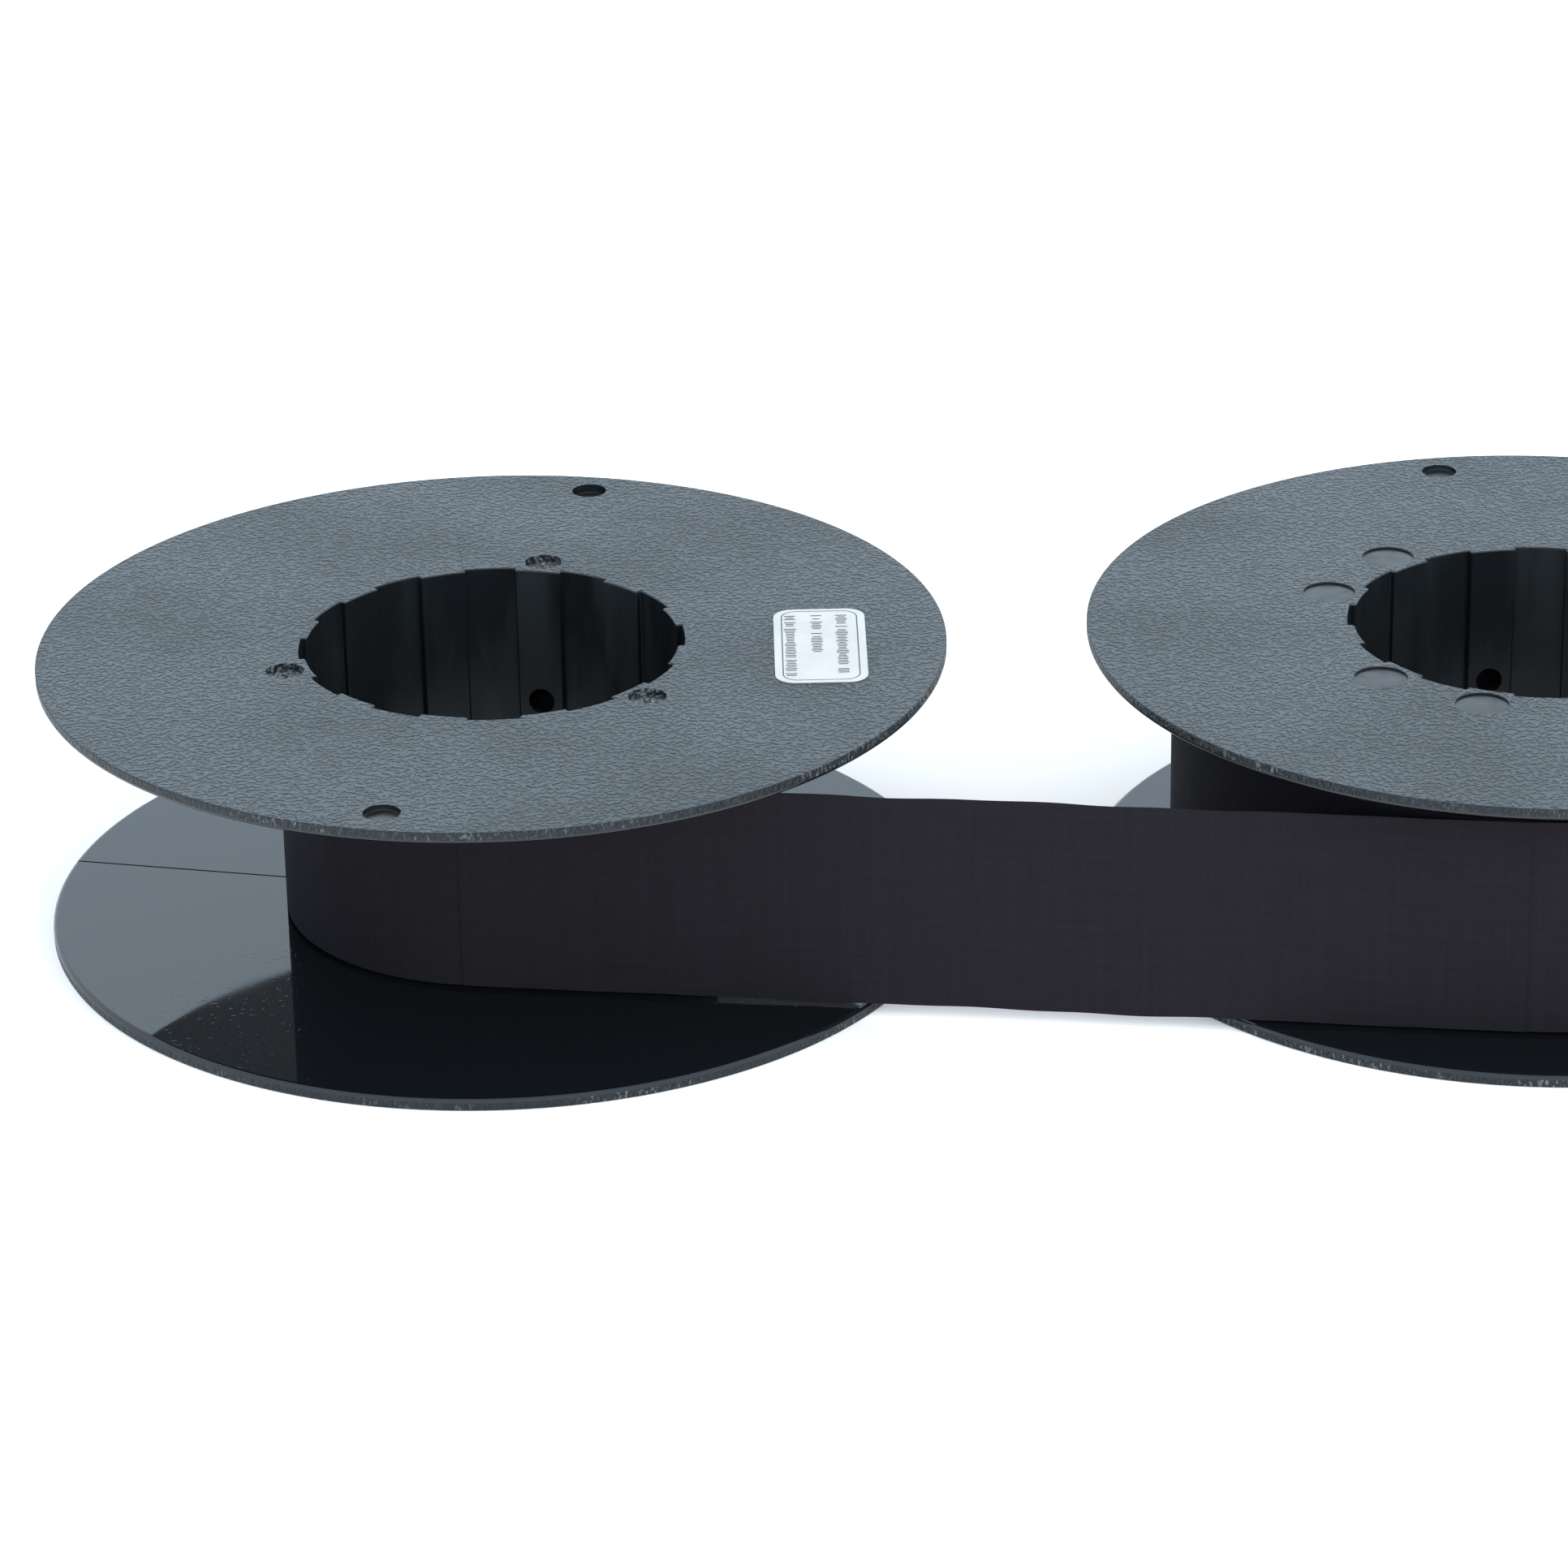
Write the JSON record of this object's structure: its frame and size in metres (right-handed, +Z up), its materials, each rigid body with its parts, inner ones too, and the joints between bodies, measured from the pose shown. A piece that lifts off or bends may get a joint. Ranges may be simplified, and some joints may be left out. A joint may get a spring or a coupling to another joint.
{
  "type": "twin-spool printer ribbon",
  "caption": "Woven ribbon wound between splined flanged plastic spools, a near-empty take-up spool and a full supply spool joined by a straight run of ribbon.",
  "frame": {"origin": "centre of the plane the set rests on, midway between the spool axes", "axes": "+X from the take-up spool to the supply spool, +Y away from the straight run of ribbon, +Z up along the spool axes"},
  "size_m": [0.222, 0.103, 0.0333],
  "materials": {
    "spool_plastic": "black moulded plastic, fine leather grain outside, polished inside the flanges",
    "ribbon_fabric": "fine woven nylon soaked in black ink",
    "label_paper": "white coated sticker",
    "end_tape": "plain adhesive tape"
  },
  "bodies": {
    "ribbon": {"ribbon_span": "ribbon_fabric"},
    "takeup": {"takeup_spool": "spool_plastic", "takeup_winding": "ribbon_fabric", "takeup_end_tab": "end_tape", "reorder_label": "label_paper"},
    "supply": {"supply_spool": "spool_plastic", "supply_winding": "ribbon_fabric", "supply_end_tab": "end_tape"}
  },
  "joints": [
    {"name": "supply_spin", "type": "hinge", "parent": "ribbon", "child": "supply", "pos_m": [0.0595, 0, 0.0165], "axis": [0, 0, 1], "continuous": true},
    {"name": "takeup_spin", "type": "hinge", "parent": "ribbon", "child": "takeup", "pos_m": [-0.0595, 0, 0.0165], "axis": [0, 0, 1], "continuous": true}
  ],
  "couplings": [
    {"joint": "takeup_spin", "follows": "supply_spin", "ratio": 1.6895}
  ]
}
